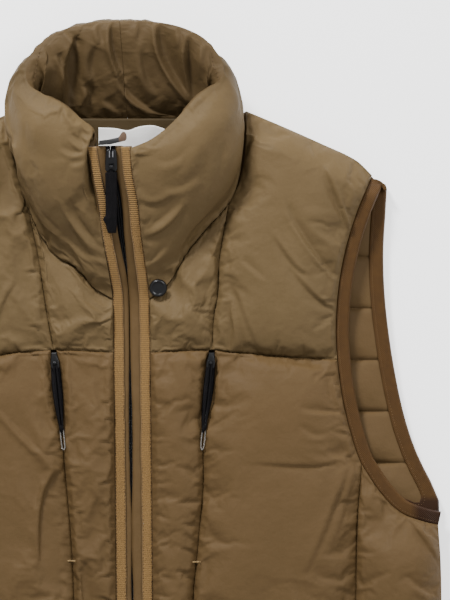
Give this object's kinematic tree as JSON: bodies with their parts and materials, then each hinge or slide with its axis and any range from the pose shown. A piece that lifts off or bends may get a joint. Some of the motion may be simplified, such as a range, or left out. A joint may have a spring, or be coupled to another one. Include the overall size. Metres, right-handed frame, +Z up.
{
  "type": "puffer vest",
  "caption": "Lightly padded vest with a tall pleated funnel collar, yoke and princess seams, ribbed tape beside the zip, chest zips and bound armholes, laid flat.",
  "frame": {"origin": "centre of the laid-out vest on the surface it rests on", "axes": "+X to the viewer's right (the wearer's left), +Y from hem to collar, +Z up from the surface, out of the front of the vest"},
  "size_m": [0.5616, 0.7561, 0.0775],
  "materials": {
    "shell_fabric": "soft brown nylon with a faint sheen, puckered at the seams",
    "ochre_tape": "matt ribbed grosgrain",
    "brown_binding": "matt woven tape",
    "black_zip_tape": "matt woven tape with coil teeth",
    "black_metal": "gloss black",
    "black_strap": "matt webbing",
    "white_label": "plain satin weave, left bare"
  },
  "bodies": {
    "vest": {"back_panel": "shell_fabric", "back_neck_facing": "shell_fabric", "collar_left": "shell_fabric", "collar_right": "shell_fabric", "yoke_inner_left": "shell_fabric", "yoke_inner_right": "shell_fabric", "yoke_outer_left": "shell_fabric", "yoke_outer_right": "shell_fabric", "front_centre_left": "shell_fabric", "front_centre_right": "shell_fabric", "front_main_left": "shell_fabric", "front_main_right": "shell_fabric", "side_panel_left": "shell_fabric", "side_panel_right": "shell_fabric", "zip_flange_left": "shell_fabric", "zip_flange_right": "shell_fabric", "front_tape_left": "ochre_tape", "front_tape_right": "ochre_tape", "armhole_binding_front_left": "brown_binding", "armhole_binding_front_right": "brown_binding", "armhole_binding_back_left": "brown_binding", "armhole_binding_back_right": "brown_binding", "chin_guard": "brown_binding", "zip_tape_left": "black_zip_tape", "zip_tape_right": "black_zip_tape", "pocket_zip_left": "black_zip_tape", "pocket_zip_right": "black_zip_tape", "zip_slider": "black_metal", "pocket_slider_left": "black_metal", "pocket_slider_right": "black_metal", "snap_cap": "black_metal", "neck_label": "white_label"},
    "zip_pull": {"zip_pull": "black_strap"},
    "chest_pull_left": {"pocket_pull_left": "black_strap"},
    "chest_pull_right": {"pocket_pull_right": "black_strap"}
  },
  "joints": [
    {"name": "zip_pull_swing", "type": "hinge", "parent": "vest", "child": "zip_pull", "pos_m": [-0.01625, 0.24393, 0.07443], "axis": [-1, 0, 0], "range_deg": [0, 150]},
    {"name": "chest_pull_left_swing", "type": "hinge", "parent": "vest", "child": "chest_pull_left", "pos_m": [-0.06777, 0.06851, 0.0339], "axis": [-0.9949, -0.1011, 0], "range_deg": [0, 145]},
    {"name": "chest_pull_right_swing", "type": "hinge", "parent": "vest", "child": "chest_pull_right", "pos_m": [0.07263, 0.06851, 0.0339], "axis": [-0.9949, 0.1011, 0], "range_deg": [0, 145]}
  ]
}
